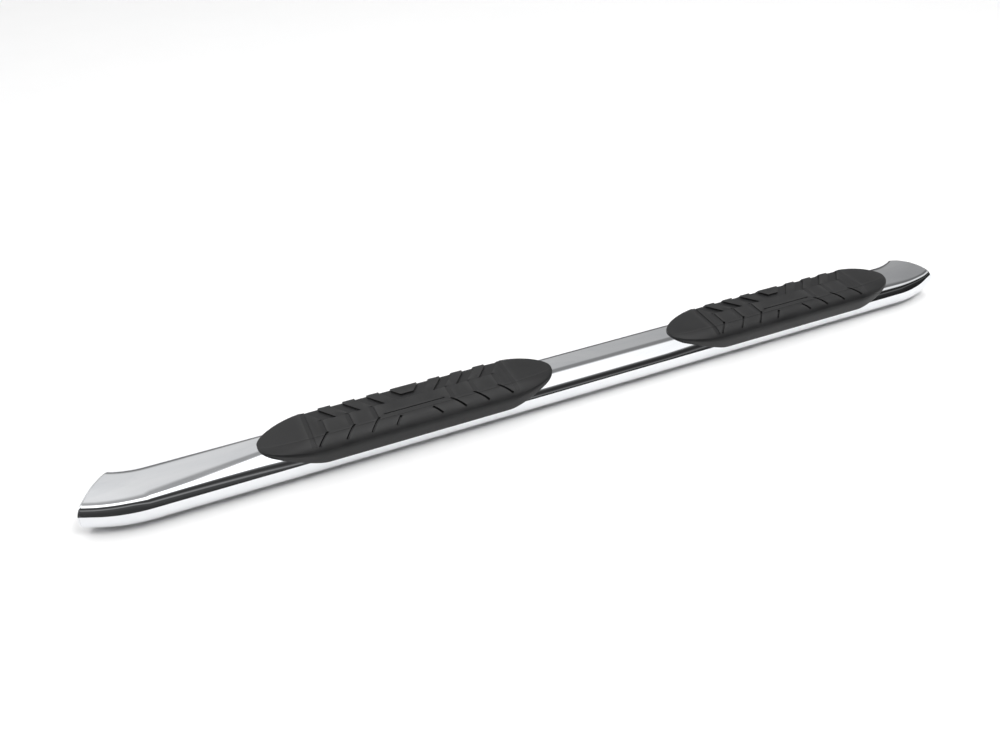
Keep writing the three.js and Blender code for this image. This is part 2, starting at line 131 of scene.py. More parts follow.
# %% Select inside a piece
def pick(piece, test):
    """Selects the vertices whose place passes the test, in vertex mode, and edits the piece."""
    make_active(piece)
    bpy.ops.object.mode_set(mode="EDIT")
    bpy.ops.mesh.select_mode(type="VERT")
    bpy.ops.mesh.select_all(action="DESELECT")
    bpy.ops.object.mode_set(mode="OBJECT")
    for vertex in piece.data.vertices:
        vertex.select = test(vertex.co)
    bpy.ops.object.mode_set(mode="EDIT")


def modify(piece, kind, **settings):
    """Adds one modifier with its settings and applies it."""
    make_active(piece)
    modifier = piece.modifiers.new(kind.lower(), kind)
    for name, value in settings.items():
        setattr(modifier, name, value)
    bpy.ops.object.modifier_apply(modifier=modifier.name)


def mend_normals(piece):
    make_active(piece)
    bpy.ops.object.mode_set(mode="EDIT")
    bpy.ops.mesh.select_all(action="SELECT")
    bpy.ops.mesh.remove_doubles(threshold=WELD)
    bpy.ops.mesh.normals_make_consistent(inside=False)
    bpy.ops.mesh.delete_loose()
    bpy.ops.object.mode_set(mode="OBJECT")


# %% Draw a chain of points by extruding one vertex
def chain(name, points):
    """A piece made of one vertex at the first point, extruded from point to point."""
    clear_selection()
    bpy.ops.mesh.primitive_plane_add(size=MM, location=points[0])
    piece = bpy.context.object
    piece.name = name
    place_in_mesh(piece)
    bpy.ops.object.mode_set(mode="EDIT")
    bpy.ops.mesh.select_all(action="SELECT")
    bpy.ops.mesh.merge(type="CENTER")
    for start, end in zip(points, points[1:]):
        step = Vector(end) - Vector(start)
        bpy.ops.mesh.extrude_region_move(TRANSFORM_OT_translate={"value": step})
    bpy.ops.mesh.select_all(action="DESELECT")
    bpy.ops.object.mode_set(mode="OBJECT")
    return piece


def prism(name, outline, low, high):
    """A plan outline filled and extruded upwards."""
    piece = chain(name, [(x, y, low) for x, y in outline])
    make_active(piece)
    bpy.ops.object.mode_set(mode="EDIT")
    bpy.ops.mesh.select_all(action="SELECT")
    bpy.ops.mesh.edge_face_add()
    bpy.ops.mesh.extrude_region_move(TRANSFORM_OT_translate={"value": (0, 0, high - low)})
    bpy.ops.object.mode_set(mode="OBJECT")
    mend_normals(piece)
    return piece

# %% [markdown]
# ## The camera
#
# A normal lens looks down the board from its near left corner, a little above a person's eye
# line, as in a catalogue picture. It is made first, so every later piece can be judged through it.

# %% Camera
camera_data = bpy.data.cameras.new("catalogue_camera")
camera_data.lens = 30.98
camera_data.sensor_width = 36
camera_data.clip_start = 0.01
camera = bpy.data.objects.new("catalogue_camera", camera_data)
camera.location = (-0.8071, -1.3839, 1.2521)
camera.rotation_euler = (math.radians(52.5), 0, math.radians(-24.2))
bpy.context.scene.collection.objects.link(camera)
bpy.context.scene.camera = camera
print("camera", [round(value, 3) for value in camera.location])

# %% [markdown]
# ## The oval tube
#
# The real tube is rolled to an oval, bent on a machine and plated. It could be a curve with a
# bevel, but a mirror finish shows every uneven face, so the section is spun from true arcs and
# then swept the way the bender does it: straight, round the bend, and a short straight tail.

# %% The oval section
ARC_STEPS = 24


def oval_section(name, grow, x):
    """A ring of edges in the plane x, spun from the four arcs of the oval."""
    crown_centre = CROWN_RADIUS - HALF_HEIGHT
    crown_sweep = math.pi - 2 * NOSE_SWEEP
    start = Vector((
        x,
        AXIS_Y + NOSE_CENTRE + (NOSE_RADIUS + grow) * math.cos(NOSE_SWEEP),
        HALF_HEIGHT - (NOSE_RADIUS + grow) * math.sin(NOSE_SWEEP),
    ))
    arcs = [
        ((x, AXIS_Y + NOSE_CENTRE, HALF_HEIGHT), 2 * NOSE_SWEEP),
        ((x, AXIS_Y, HALF_HEIGHT - crown_centre), crown_sweep),
        ((x, AXIS_Y - NOSE_CENTRE, HALF_HEIGHT), 2 * NOSE_SWEEP),
        ((x, AXIS_Y, HALF_HEIGHT + crown_centre), crown_sweep),
    ]
    piece = chain(name, [start])
    bpy.ops.object.mode_set(mode="EDIT")
    bpy.ops.mesh.select_all(action="SELECT")
    for centre, sweep in arcs:
        bpy.ops.mesh.spin(steps=ARC_STEPS, angle=sweep, center=centre, axis=(-1, 0, 0))
    bpy.ops.mesh.select_all(action="SELECT")
    bpy.ops.mesh.remove_doubles(threshold=WELD)
    bpy.ops.object.mode_set(mode="OBJECT")
    return piece


section = oval_section("section", 0, 0)
print("oval section of", len(section.data.vertices), "points")

# %% Sweep half of the bar
STRAIGHT_STEPS = 24
BEND_STEPS = 20
OVERRUN = TUBE_WIDTH


def sweep_half(name, grow):
    """Half of the oval skin: extruded along the straight, spun round the bend, run past the cut."""
    piece = oval_section(name, grow, 0)
    make_active(piece)
    bpy.ops.object.mode_set(mode="EDIT")
    bpy.ops.mesh.select_all(action="SELECT")
    for _ in range(STRAIGHT_STEPS):
        move = {"value": (HALF_STRAIGHT / STRAIGHT_STEPS, 0, 0)}
        bpy.ops.mesh.extrude_region_move(TRANSFORM_OT_translate=move)
    centre = (HALF_STRAIGHT, AXIS_Y + BEND_RADIUS, HALF_HEIGHT)
    bpy.ops.mesh.spin(steps=BEND_STEPS, angle=BEND_ANGLE, center=centre, axis=(0, 0, -1))
    heading = Vector((math.cos(BEND_ANGLE), math.sin(BEND_ANGLE), 0))
    for length in (TAIL, OVERRUN):
        bpy.ops.mesh.extrude_region_move(TRANSFORM_OT_translate={"value": heading * length})
    bpy.ops.mesh.select_all(action="SELECT")
    bpy.ops.mesh.remove_doubles(threshold=WELD)
    bpy.ops.mesh.normals_make_consistent(inside=False)
    bpy.ops.object.mode_set(mode="OBJECT")
    return piece


remove(section)
tube = sweep_half("oval_tube_skin", 0)
plate = copy_piece(tube, "end_plate_right_face")
print("half skin of", len(tube.data.polygons), "faces")

# %% Cut the ends
cut_normal = Vector((math.cos(CUT_ANGLE), math.sin(CUT_ANGLE), 0))


def cut(piece, before_end, keep_inner, fill):
    """Bisects a piece parallel to the end cut, and keeps one side."""
    make_active(piece)
    bpy.ops.object.mode_set(mode="EDIT")
    bpy.ops.mesh.select_all(action="SELECT")
    bpy.ops.mesh.bisect(
        plane_co=END_PLACE - cut_normal * before_end,
        plane_no=cut_normal,
        use_fill=fill,
        clear_outer=keep_inner,
        clear_inner=not keep_inner,
    )
    bpy.ops.object.mode_set(mode="OBJECT")


cut(tube, END_PLATE + END_GAP, True, False)
cut(plate, 0, True, True)
cut(plate, END_PLATE, False, True)
mend_normals(plate)
print("plate", len(plate.data.polygons), "faces")

# %% [markdown]
# The other half is a mirror image. The wall comes from a Solidify modifier that keeps the outer
# face where it is. The rim of each plate gets a small round edge, as a ground weld has.

# %% Wall, mirror image and plate edges
SMOOTH_ANGLE = math.radians(32)
ALONG_BAR = (True, False, False)
MIRROR_WELD = 0.1 * MM
RIM_EDGE = 0.5 * MM
RIM_ANGLE = math.radians(40)


def shade(piece):
    make_active(piece)
    bpy.ops.object.shade_smooth_by_angle(angle=SMOOTH_ANGLE)


def mirror_copy(piece, name):
    twin = copy_piece(piece, name)
    make_active(twin)
    bpy.ops.object.mode_set(mode="EDIT")
    bpy.ops.mesh.select_all(action="SELECT")
    bpy.ops.transform.resize(value=(-1, 1, 1), center_override=(0, 0, 0))
    bpy.ops.object.mode_set(mode="OBJECT")
    mend_normals(twin)
    return twin


modify(tube, "MIRROR", use_axis=ALONG_BAR, use_mirror_merge=True, merge_threshold=MIRROR_WELD)
modify(tube, "SOLIDIFY", thickness=TUBE_WALL, offset=-1)
mend_normals(tube)
modify(plate, "BEVEL", width=RIM_EDGE, segments=3, limit_method="ANGLE", angle_limit=RIM_ANGLE)
far_plate = mirror_copy(plate, "end_plate_left_face")
print("tube", len(tube.data.polygons), "faces")

# %% [markdown]
# The clips go through holes in the top of the tube. Below, each insert sits in a seat pressed
# into the wall, so the plated skin dips inwards round it. Both are cut where the model's clips
# and inserts stand.

# %% Holes and seats
def middle(node):
    low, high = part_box(node)
    return (low[0] + high[0]) / 2, (low[1] + high[1]) / 2


POST_SIDES = 48


def posts(name, places, radius, low, high):
    """Upright cylinders on the given places, joined into one piece."""
    clear_selection()
    made = []
    for x, y in places:
        bpy.ops.mesh.primitive_cylinder_add(
            vertices=POST_SIDES,
            radius=radius,
            depth=high - low,
            location=(x, y, (low + high) / 2),
        )
        made.append(bpy.context.object)
    for piece in made:
        piece.select_set(True)
    bpy.ops.object.join()
    joined = bpy.context.object
    joined.name = name
    place_in_mesh(joined)
    return joined


def combine(piece, tool, operation):
    """One boolean with the tool, which is then thrown away."""
    modify(piece, "BOOLEAN", object=tool, operation=operation, solver="EXACT")
    remove(tool)


clip_nodes = [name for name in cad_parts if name.startswith("pad_clip")]
insert_nodes = [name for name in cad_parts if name.startswith("threaded_insert")]
clip_places = [middle(name) for name in clip_nodes]
insert_places = [middle(name) for name in insert_nodes]
SEAT_RADIUS = 8.8 * MM
SEAT_DEPTH = 1.5 * MM
HOLE_RADIUS = 5.8 * MM
CLIP_HOLE_RADIUS = 4.5 * MM
clip_drill = posts("clip_drill", clip_places, CLIP_HOLE_RADIUS, HALF_HEIGHT, 2 * TUBE_HEIGHT)
combine(tube, clip_drill, "DIFFERENCE")
pressed_top = SEAT_DEPTH + TUBE_WALL
pressed = posts("pressing", insert_places, SEAT_RADIUS + TUBE_WALL, TUBE_WALL / 2, pressed_top)
combine(tube, pressed, "UNION")
seat_punch = posts("seat_punch", insert_places, SEAT_RADIUS, -TUBE_WALL, SEAT_DEPTH)
combine(tube, seat_punch, "DIFFERENCE")
insert_drill = posts("insert_drill", insert_places, HOLE_RADIUS, -TUBE_WALL, HALF_HEIGHT / 2)
combine(tube, insert_drill, "DIFFERENCE")
for piece in (tube, plate, far_plate):
    shade(piece)
print("drilled tube", len(tube.data.polygons), "faces")

# %% [markdown]
# ## The step pads
#
# Each pad is one moulding of black plastic: a low boat-shaped shell that wraps over the tube, with
# a tyre-like tread. It could be sculpted from a block, but its section is the same along the
# tread and only shrinks towards the tips. So one section is extruded along the bar, and each
# ring is scaled down a little more than the last.

# %% Sizes of the pads
PAD_MIDDLES = [
    sum(corner[0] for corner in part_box(f"step_pad_{side}")) / 2
    for side in ("left", "right")
]
HALF_PAD = (pad_high[0] - pad_low[0]) / 2
TREAD_TOP = pad_high[2]
HEM = pad_low[2]
PAD_FRONT = AXIS_Y - pad_low[1]
PAD_BACK = pad_high[1] - AXIS_Y
PAD_TIP = 130 * MM
TIP_BLUNT = 0.06
BACK_SLIMMING = 1.2
PLATEAU = 111 * MM
TIP_DROP = 8.2 * MM
PAD_GAP = 0.3 * MM
HALF_TREAD = HALF_PAD - PLATEAU
print(f"pad {2 * HALF_PAD / MM:.1f} mm long, tread {2 * HALF_TREAD / MM:.1f} mm")

# %% The section of a pad
# Shares of the reach across the bar and of the height above the hem, from front to back. The
# skirt and the rounded top meet in a crease, so each is eased on its own.
SKIRT = [(-1, 0), (-0.995, 0.22), (-0.975, 0.45), (-0.93, 0.64)]
TOP = [
    (-0.93, 0.64), (-0.86, 0.74), (-0.76, 0.85), (-0.63, 0.94), (-0.48, 0.99), (-0.37, 1),
    (0.74, 1), (0.84, 0.96), (0.91, 0.85), (0.96, 0.65), (0.99, 0.4), (1, 0.1),
]
ROUNDING = 4


def eased(points):
    """The same outline with curved stretches between its corners.

    Beside the long flat stretch the curve passes a corner by up to about a millimetre and
    doubles back, which leaves a tiny ledge along the front and back edges of the top.
    """
    fine = []
    for i in range(len(points) - 1):
        before, start = Vector(points[max(i - 1, 0)]), Vector(points[i])
        end, after = Vector(points[i + 1]), Vector(points[min(i + 2, len(points) - 1)])
        for step in range(ROUNDING):
            t = step / ROUNDING
            bend = (end - before) * (t * (1 - t) ** 2) / 2 - (after - start) * (t**2 * (1 - t)) / 2
            place = start.lerp(end, t * t * (3 - 2 * t)) + bend
            fine.append((max(min(place.x, 1), -1), max(min(place.y, 1), 0)))
    return [*fine, points[-1]]


def oval_reach(height):
    rise = height - HALF_HEIGHT
    return NOSE_CENTRE + math.sqrt((NOSE_RADIUS + PAD_GAP) ** 2 - rise**2)


def oval_top(across):
    crown_end = NOSE_CENTRE + (NOSE_RADIUS + PAD_GAP) * math.cos(NOSE_SWEEP)
    if across < crown_end:
        return HALF_HEIGHT * 2 - CROWN_RADIUS + math.sqrt((CROWN_RADIUS + PAD_GAP) ** 2 - across**2)
    return HALF_HEIGHT + math.sqrt((NOSE_RADIUS + PAD_GAP) ** 2 - (across - NOSE_CENTRE) ** 2)


def ring_heights(x, taper):
    beyond = max(x - HALF_TREAD, 0) / PLATEAU
    hem = max(HEM, oval_top(oval_reach(HEM) * taper))
    return hem, TREAD_TOP - TIP_DROP * beyond**2


pad_section = []
for across, rise in [*eased(SKIRT), *eased(TOP)[1:]]:
    reach = PAD_FRONT if across < 0 else PAD_BACK
    pad_section.append((0, AXIS_Y + across * reach, HEM + rise * (TREAD_TOP - HEM)))
print("pad section of", len(pad_section), "points")

# %% Rings from the middle of a pad to its tip
TIP_STEPS = 22
PLAIN_STEPS = 10


def pad_stations():
    """Place along the pad and taper of each ring, from next to the middle out to the tip."""
    plain = HALF_PAD - PAD_TIP
    stations = [(plain * (i + 1) / PLAIN_STEPS, 1) for i in range(PLAIN_STEPS)]
    for i in range(1, TIP_STEPS + 1):
        angle = math.pi / 2 * i / TIP_STEPS
        taper = TIP_BLUNT + (1 - TIP_BLUNT) * math.cos(angle)
        stations.append((plain + PAD_TIP * math.sin(angle), taper))
    return stations


# %% Extrude a pad from its section
def pad_block():
    """The outer shape of a pad about x = 0, as one closed solid over the tube."""
    piece = chain("pad_block", [*pad_section, pad_section[0]])
    make_active(piece)
    bpy.ops.object.mode_set(mode="EDIT")
    bpy.ops.mesh.select_all(action="SELECT")
    bpy.ops.mesh.remove_doubles(threshold=WELD)
    last_x, last_taper = 0, 1
    last_hem, last_top = ring_heights(0, 1)
    for x, taper in pad_stations():
        hem, top = ring_heights(x, taper)
        move = {"value": (x - last_x, 0, hem - last_hem)}
        bpy.ops.mesh.extrude_region_move(TRANSFORM_OT_translate=move)
        shrink = (1, taper / last_taper, (top - hem) / (last_top - last_hem))
        bpy.ops.transform.resize(value=shrink, center_override=(x, AXIS_Y, hem))
        last_x, last_taper, last_hem, last_top = x, taper, hem, top
    bpy.ops.mesh.edge_face_add()
    for x, taper in pad_stations()[PLAIN_STEPS:]:
        pick(piece, lambda place, x=x: abs(place.x - x) < WELD and place.y > AXIS_Y)
        slim = (1, taper ** (BACK_SLIMMING - 1), 1)
        bpy.ops.transform.resize(value=slim, center_override=(x, AXIS_Y, 0))
    bpy.ops.object.mode_set(mode="OBJECT")
    modify(piece, "MIRROR", use_axis=ALONG_BAR, use_mirror_merge=True, merge_threshold=MIRROR_WELD)
    mend_normals(piece)
    return piece


def moved(piece, name, step):
    """A copy of a piece moved by a step."""
    twin = copy_piece(piece, name)
    twin.location = step
    place_in_mesh(twin)
    return twin


block = pad_block()
print("pad block of", len(block.data.polygons), "faces")

# %% [markdown]
# The tread is pressed into the mould: wide gaps between slanted lugs, narrow slots that run out
# to the front edge, and shallow steps where one tile overlaps the next. Painted lines would look
# flat from here, so each cut is a real one. A cut is an upright prism that stops at a floor,
# and the floor is the pad's own skin, moved down, moved back, or tipped a little.

# %% Sizes of the tread
GROOVE_DEPTH = 4 * MM
CENTRE_LUG = 60 * MM
LUG_WIDTH = 27 * MM
TREAD_END = 30 * MM
LUGS = 3
LUG_BACK = PAD_BACK - 16.5 * MM
CENTRE_LUG_DEPTH = 19 * MM
GAP_FRONT = LUG_BACK - 36 * MM
SLANT = 0.82
SIPE_WIDTH = 2.6 * MM
STEP_DEPTH = 1.6 * MM
STEP_RAMP = 11 * MM
RAMP_SHORT = 0.6 * MM  # each ramp stops this far short of its crest, for a clean edge
STEP_FRONT = -26 * MM
SLOT_WIDTH = 5 * MM
SLOT_FRONT = 12 * MM - PAD_FRONT
SHORT_SLOT_BACK = -36 * MM
CENTRE_SIPE = 136 * MM
CENTRE_SIPE_PLACE = -19 * MM
PAST_MIDDLE = -3 * MM
PITCH = (HALF_TREAD - CENTRE_LUG / 2 - TREAD_END) / LUGS
print(f"lug pitch {PITCH / MM:.1f} mm")

# %% Where the cuts go
def strip(start, end, width):
    """The corners of a straight strip between two plan points."""
    start, end = Vector(start), Vector(end)
    side = (end - start).orthogonal().normalized() * width / 2
    return [start - side, end - side, end + side, start + side]


def gap_outlines():
    shift = SLANT * (LUG_BACK - GAP_FRONT)
    outlines = []
    for i in range(LUGS + 1):
        near = CENTRE_LUG / 2 + i * PITCH
        far = near + PITCH - LUG_WIDTH if i < LUGS else HALF_TREAD
        outline = [(far - shift, GAP_FRONT), (far, LUG_BACK), (far, PAD_BACK)]
        outline += [(near, PAD_BACK), (near, LUG_BACK)]
        if i:
            outline.append((near - shift, GAP_FRONT))
        else:
            lug_front = LUG_BACK - CENTRE_LUG_DEPTH
            outline.append((near - SLANT * CENTRE_LUG_DEPTH, lug_front))
            outline += [(PAST_MIDDLE, lug_front), (PAST_MIDDLE, GAP_FRONT)]
        outlines.append(outline)
    return outlines


gaps = gap_outlines()
feet = [outline[0][0] for outline in gaps]
slots = [strip((PAST_MIDDLE, CENTRE_SIPE_PLACE), (CENTRE_SIPE / 2, CENTRE_SIPE_PLACE), SIPE_WIDTH)]
for i, foot in enumerate(feet):
    back = STEP_FRONT + SIPE_WIDTH / 2 if i else SHORT_SLOT_BACK
    head = foot + SLANT * (STEP_FRONT - back)
    tail = foot + SLANT * (STEP_FRONT - SLOT_FRONT)
    slots.append(strip((head, back), (tail, SLOT_FRONT), SLOT_WIDTH))
steps = [(foot, STEP_FRONT, GAP_FRONT + SIPE_WIDTH) for foot in feet[1:]]
steps.append((HALF_TREAD, SLOT_FRONT, PAD_BACK))
print(len(gaps), "gaps,", len(slots), "slots and", len(steps), "steps in each half")

# %% Cut the tread into one half
def prisms(name, outlines):
    """Upright prisms through the tread, joined into one piece."""
    made = []
    for outline in outlines:
        placed = [(x, y + AXIS_Y) for x, y in outline]
        made.append(prism(name, placed, HEM, 2 * TREAD_TOP))
    clear_selection()
    for piece in made:
        piece.select_set(True)
    bpy.context.view_layer.objects.active = made[0]
    bpy.ops.object.join()
    return bpy.context.object


def tipped_floor(top):
    """The pad's skin turned down about the crest of a ramp."""
    floor = copy_piece(block, "ramp_floor")
    make_active(floor)
    bpy.ops.object.mode_set(mode="EDIT")
    bpy.ops.mesh.select_all(action="SELECT")
    tip = math.atan(STEP_DEPTH / STEP_RAMP)
    bpy.ops.transform.rotate(value=tip, orient_axis="Y", center_override=(top, 0, TREAD_TOP))
    bpy.ops.object.mode_set(mode="OBJECT")
    return floor


pad = copy_piece(block, "step_pad_left_face")
gap_tool = prisms("gap_tool", gaps)
combine(gap_tool, moved(block, "gap_floor", (0, 0, -GROOVE_DEPTH)), "DIFFERENCE")
combine(pad, gap_tool, "DIFFERENCE")
for outline in slots:
    slot_tool = prisms("slot_tool", [outline])
    combine(slot_tool, moved(block, "slot_floor", (0, GROOVE_DEPTH, -GROOVE_DEPTH)), "DIFFERENCE")
    combine(pad, slot_tool, "DIFFERENCE")
for x, front, back in steps:
    end = x + STEP_RAMP - RAMP_SHORT
    step_tool = prisms("step_tool", [[(x, front), (end, front), (end, back), (x, back)]])
    combine(step_tool, tipped_floor(x + STEP_RAMP), "DIFFERENCE")
    combine(pad, step_tool, "DIFFERENCE")
print("cut half of", len(pad.data.polygons), "faces")

# %% [markdown]
# The tread is the same on both sides of its middle, so the cut half is mirrored. The underside
# is cut to the oval of the tube with a hair of room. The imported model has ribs, hollows and clip
# housings under the pad. They face the tube and never show, so here the pad is left solid.

# %% Mirror the tread and fit the underside to the tube
modify(
    pad,
    "MIRROR",
    use_axis=ALONG_BAR,
    use_bisect_axis=ALONG_BAR,
    use_mirror_merge=True,
    merge_threshold=2 * WELD,
)
SEAT_OVERRUN = 4 * MM
seat = oval_section("pad_seat", PAD_GAP, -HALF_PAD - SEAT_OVERRUN)
make_active(seat)
bpy.ops.object.mode_set(mode="EDIT")
bpy.ops.mesh.select_all(action="SELECT")
bpy.ops.mesh.edge_face_add()
seat_length = 2 * (HALF_PAD + SEAT_OVERRUN)
bpy.ops.mesh.extrude_region_move(TRANSFORM_OT_translate={"value": (seat_length, 0, 0)})
bpy.ops.object.mode_set(mode="OBJECT")
mend_normals(seat)
combine(pad, seat, "DIFFERENCE")
mend_normals(pad)
print("pad of", len(pad.data.polygons), "faces")

# %% Put a pad at each step
def pad_at(x, name):
    twin = moved(pad, name, (x, 0, 0))
    shade(twin)
    return twin


left_pad = pad_at(PAD_MIDDLES[0], "step_pad_left_moulding")
right_pad = pad_at(PAD_MIDDLES[1], "step_pad_right_moulding")
remove(pad)
remove(block)
print("pads at", [round(x, 3) for x in PAD_MIDDLES])

# %% [markdown]
# ## Finishes
#
# All patterns read the object's own coordinates, which are metres here, so a noise of scale 1000
# has features about a millimetre apart. Colours are written as screen hex values and turned to
# linear by one function.

# %% Colour and node helpers
def linear(hex_colour):
    """An sRGB hex colour as a linear RGBA tuple."""
    shares = [int(hex_colour[i : i + 2], 16) / 255 for i in (1, 3, 5)]
    return (*[s / 12.92 if s <= 0.04045 else ((s + 0.055) / 1.055) ** 2.4 for s in shares], 1)


def add_node(tree, kind, settings=None, links=None):
    """One node with its settings: names set properties, and socket names or numbers set inputs."""
    made = tree.nodes.new(kind)
    for name, value in (settings or {}).items():
        if isinstance(name, str) and hasattr(made, name):
            setattr(made, name, value)
        else:
            made.inputs[name].default_value = value
    for socket, source in (links or {}).items():
        tree.links.new(source, made.inputs[socket])
    return made


def new_material(name):
    """An empty material with its output node and its object coordinates."""
    material = bpy.data.materials.new(name)
    material.use_nodes = True
    tree = material.node_tree
    tree.nodes.clear()
    output = add_node(tree, "ShaderNodeOutputMaterial")
    place = add_node(tree, "ShaderNodeTexCoord").outputs["Object"]
    return material, tree, output, place

# %% [markdown]
# Polished chrome plate on steel. Chrome is nearly a mirror with a slightly cool white. The eye
# knows it by crisp reflections that swim a little, because the polished tube under the plating
# is never quite true, and by faint wiping marks that soften the brightest streaks.

# %% Polished chrome plate
RIPPLE_SPACING = 35 * MM
WIPE_SPACING = 60 * MM
chrome, tree, output, place = new_material("chrome_plate_polished")
stretched = add_node(tree, "ShaderNodeMapping", {"Scale": (0.35, 1, 1)}, {"Vector": place})
ripple = add_node(
    tree,
    "ShaderNodeTexNoise",
    {"Scale": 1 / RIPPLE_SPACING, "Detail": 1.0, "Roughness": 0.4},
    {"Vector": stretched.outputs[0]},
)
wipe = add_node(
    tree,
    "ShaderNodeTexNoise",
    {"Scale": 1 / WIPE_SPACING, "Detail": 8.0, "Roughness": 0.65, "Distortion": 0.6},
    {"Vector": stretched.outputs[0]},
)
gloss = add_node(
    tree,
    "ShaderNodeMapRange",
    {"From Min": 0.35, "From Max": 0.75, "To Min": 0.03, "To Max": 0.075},
    {"Value": wipe.outputs["Fac"]},
)
tint = add_node(tree, "ShaderNodeValToRGB", {}, {"Fac": wipe.outputs["Fac"]})
tint.color_ramp.elements[0].position = 0.3
tint.color_ramp.elements[0].color = linear("#dfe1e4")
tint.color_ramp.elements[1].position = 0.7
tint.color_ramp.elements[1].color = linear("#e9eaec")
swim = add_node(
    tree,
    "ShaderNodeBump",
    {"Strength": 0.25, "Distance": 0.12 * MM},
    {"Height": ripple.outputs["Fac"]},
)
shader = add_node(
    tree,
    "ShaderNodeBsdfPrincipled",
    {"Metallic": 1.0},
    {"Base Color": tint.outputs["Color"], "Roughness": gloss.outputs[0], "Normal": swim.outputs[0]},
)
tree.links.new(shader.outputs[0], output.inputs["Surface"])
print(chrome.name, len(tree.nodes), "nodes")

# %% [markdown]
# Polypropylene moulded against a spark-eroded tool. It is a soft black that turns grey where the
# light grazes it. The tool leaves a fine even grain and the flow of the plastic leaves slow cloudy
# changes. Convex edges are painted a lighter grey: partly wear from shoes, partly a painted
# highlight.

# %% Moulded black polypropylene
# Real spark grain is about 0.3 mm, too fine to show, so it is drawn 1.6 mm apart.
GRAIN_SPACING = 1.6 * MM
CLOUD_SPACING = 45 * MM
EDGE_ROUND = 0.7 * MM
plastic, tree, output, place = new_material("polypropylene_black_spark_grain")
grain = add_node(
    tree,
    "ShaderNodeTexNoise",
    {"Scale": 1 / GRAIN_SPACING, "Detail": 2.0, "Roughness": 0.6},
    {"Vector": place},
)
cloud = add_node(
    tree,
    "ShaderNodeTexNoise",
    {"Scale": 1 / CLOUD_SPACING, "Detail": 4.0, "Roughness": 0.55},
    {"Vector": place},
)
pointed = add_node(tree, "ShaderNodeNewGeometry").outputs["Pointiness"]
# Convex edges are painted lighter grey, partly as wear and partly as a painted highlight.
edge_wear_and_highlight = add_node(tree, "ShaderNodeValToRGB", {}, {"Fac": pointed})
edge_wear_and_highlight.color_ramp.elements[0].position = 0.5
edge_wear_and_highlight.color_ramp.elements[0].color = (0, 0, 0, 1)
edge_wear_and_highlight.color_ramp.elements[1].position = 0.62
edge_wear_and_highlight.color_ramp.elements[1].color = (1, 1, 1, 1)
black = add_node(tree, "ShaderNodeValToRGB", {}, {"Fac": cloud.outputs["Fac"]})
black.color_ramp.elements[0].position = 0.3
black.color_ramp.elements[0].color = linear("#151516")
black.color_ramp.elements[1].position = 0.7
black.color_ramp.elements[1].color = linear("#1f1f20")
# Mixes the lighter grey of the worn and painted-highlight edges into the black.
worn_and_highlit_black = add_node(
    tree,
    "ShaderNodeMix",
    {"data_type": "RGBA", 7: linear("#343434")},
    {0: edge_wear_and_highlight.outputs["Color"], 6: black.outputs["Color"]},
)
satin = add_node(
    tree,
    "ShaderNodeMapRange",
    {"From Min": 0.3, "From Max": 0.7, "To Min": 0.36, "To Max": 0.48},
    {"Value": cloud.outputs["Fac"]},
)
rounded = add_node(tree, "ShaderNodeBevel", {"samples": 8, "Radius": EDGE_ROUND})
texture = add_node(
    tree,
    "ShaderNodeBump",
    {"Strength": 0.35, "Distance": 0.15 * MM},
    {"Height": grain.outputs["Fac"], "Normal": rounded.outputs[0]},
)
shader = add_node(
    tree,
    "ShaderNodeBsdfPrincipled",
    {"IOR": 1.49},
    {"Base Color": worn_and_highlit_black.outputs[2], "Roughness": satin.outputs[0], "Normal": texture.outputs[0]},
)
tree.links.new(shader.outputs[0], output.inputs["Surface"])
print(plastic.name, len(tree.nodes), "nodes")

# %% [markdown]
# The clips are injection-moulded nylon, a little waxy, with its colour not quite even. They are
# the model's own solids with a better finish.

# %% Moulded nylon
NYLON_SPACING = 2.5 * MM
nylon, tree, output, place = new_material("nylon_moulded_natural_black")
speck = add_node(
    tree,
    "ShaderNodeTexNoise",
    {"Scale": 1 / NYLON_SPACING, "Detail": 3.0, "Roughness": 0.6},
    {"Vector": place},
)
shade_of_nylon = add_node(tree, "ShaderNodeValToRGB", {}, {"Fac": speck.outputs["Fac"]})
shade_of_nylon.color_ramp.elements[0].position = 0.35
shade_of_nylon.color_ramp.elements[0].color = linear("#232325")
shade_of_nylon.color_ramp.elements[1].position = 0.65
shade_of_nylon.color_ramp.elements[1].color = linear("#2e2e31")
waxy = add_node(
    tree,
    "ShaderNodeMapRange",
    {"From Min": 0.3, "From Max": 0.7, "To Min": 0.3, "To Max": 0.42},
    {"Value": speck.outputs["Fac"]},
)
flow = add_node(
    tree,
    "ShaderNodeBump",
    {"Strength": 0.2, "Distance": 0.05 * MM},
    {"Height": speck.outputs["Fac"]},
)
shader = add_node(
    tree,
    "ShaderNodeBsdfPrincipled",
    {"IOR": 1.53},
    {
        "Base Color": shade_of_nylon.outputs["Color"],
        "Roughness": waxy.outputs[0],
        "Normal": flow.outputs[0],
    },
)
tree.links.new(shader.outputs[0], output.inputs["Surface"])
print(nylon.name, len(tree.nodes), "nodes")

# %% [markdown]
# The threaded inserts are steel with bright zinc plating. Zinc is softer looking than chrome:
# bluish grey, with a cellular bloom, so a Voronoi pattern breaks up its gloss.

